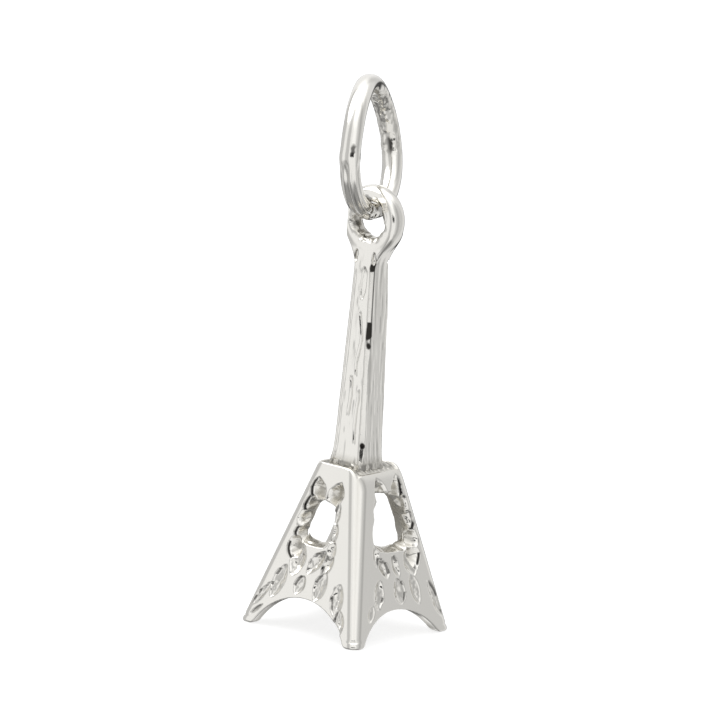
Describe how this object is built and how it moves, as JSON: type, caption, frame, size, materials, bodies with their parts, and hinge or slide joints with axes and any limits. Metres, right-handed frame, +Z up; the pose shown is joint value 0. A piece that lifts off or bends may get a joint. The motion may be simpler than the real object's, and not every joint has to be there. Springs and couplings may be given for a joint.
{
  "type": "tower charm",
  "caption": "Polished silver charm: a tall lattice tower with an arched, windowed base and a tapering square spire, hung by its eye from a round jump ring.",
  "frame": {"origin": "centre of the base, in the plane of the four foot soles", "axes": "+Z up the tower from the feet to the eye and ring, -Y out of the front face that the eye's hole also looks through, +X out of the right face"},
  "size_m": [0.0072, 0.0072, 0.0271],
  "materials": {
    "cast_silver": "cast sterling silver, polished on the raised faces and slightly rough in the recesses",
    "ring_silver": "polished sterling silver wire with light tool marks"
  },
  "bodies": {
    "ring": {"jump_ring": "ring_silver"},
    "tower": {"arched_base": "cast_silver", "spire": "cast_silver", "eye": "cast_silver"}
  },
  "joints": [
    {"name": "tower_swing", "type": "hinge", "parent": "ring", "child": "tower", "pos_m": [-0.0001, 0, 0.0205], "axis": [-0.278, 0.9605, 0.0117], "range_deg": [-150, 150]}
  ]
}
